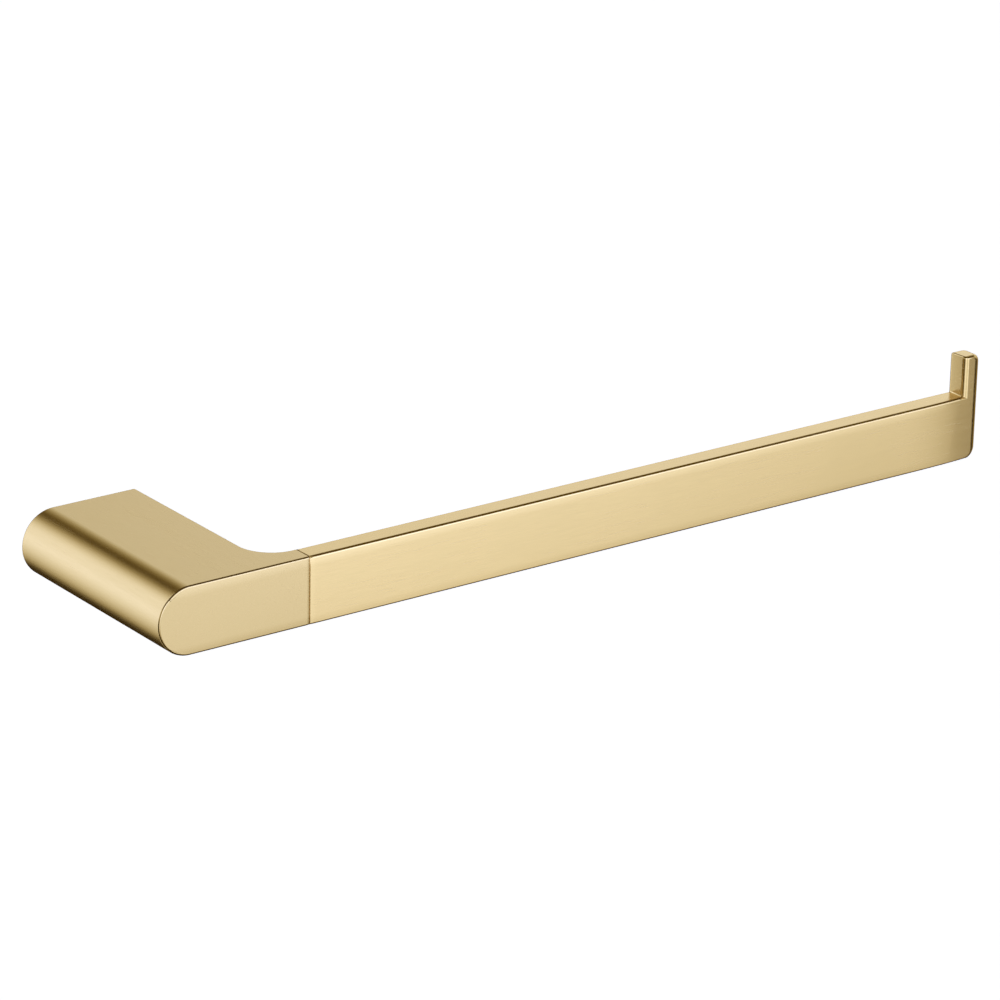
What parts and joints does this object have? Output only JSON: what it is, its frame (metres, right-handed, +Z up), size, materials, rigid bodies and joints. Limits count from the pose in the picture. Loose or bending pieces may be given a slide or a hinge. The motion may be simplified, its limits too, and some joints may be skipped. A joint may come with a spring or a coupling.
{
  "type": "toilet paper holder",
  "caption": "Wall-mounted holder with a hollow rounded post and a long flat arm, upturned at its free end, that carries toilet rolls.",
  "frame": {"origin": "on the wall, midway between the two wall screw holes of the bracket", "axes": "+X along the arm towards its upturned end, +Y into the wall, +Z up"},
  "size_m": [0.2956, 0.072, 0.0331],
  "materials": {
    "brushed_brass": "fine brushed satin, pale gold",
    "steel": "drawn flat bar",
    "bracket_steel": "machined, light tool marks",
    "screw_steel": "dark stainless"
  },
  "bodies": {
    "bracket": {"wall_bracket": "bracket_steel"},
    "holder": {"post": "brushed_brass", "arm_tube": "brushed_brass", "arm_tenon": "steel", "end_stop": "brushed_brass", "arm_screws": "screw_steel"},
    "clamp_screw": {"clamp_screw": "screw_steel"}
  },
  "joints": [
    {"name": "holder_slide", "type": "slide", "parent": "bracket", "child": "holder", "axis": [0, -1, 0], "range_m": [0, 0.012]},
    {"name": "clamp_screw_travel", "type": "slide", "parent": "holder", "child": "clamp_screw", "axis": [0, 0, -1], "range_m": [0, 0.003]}
  ]
}
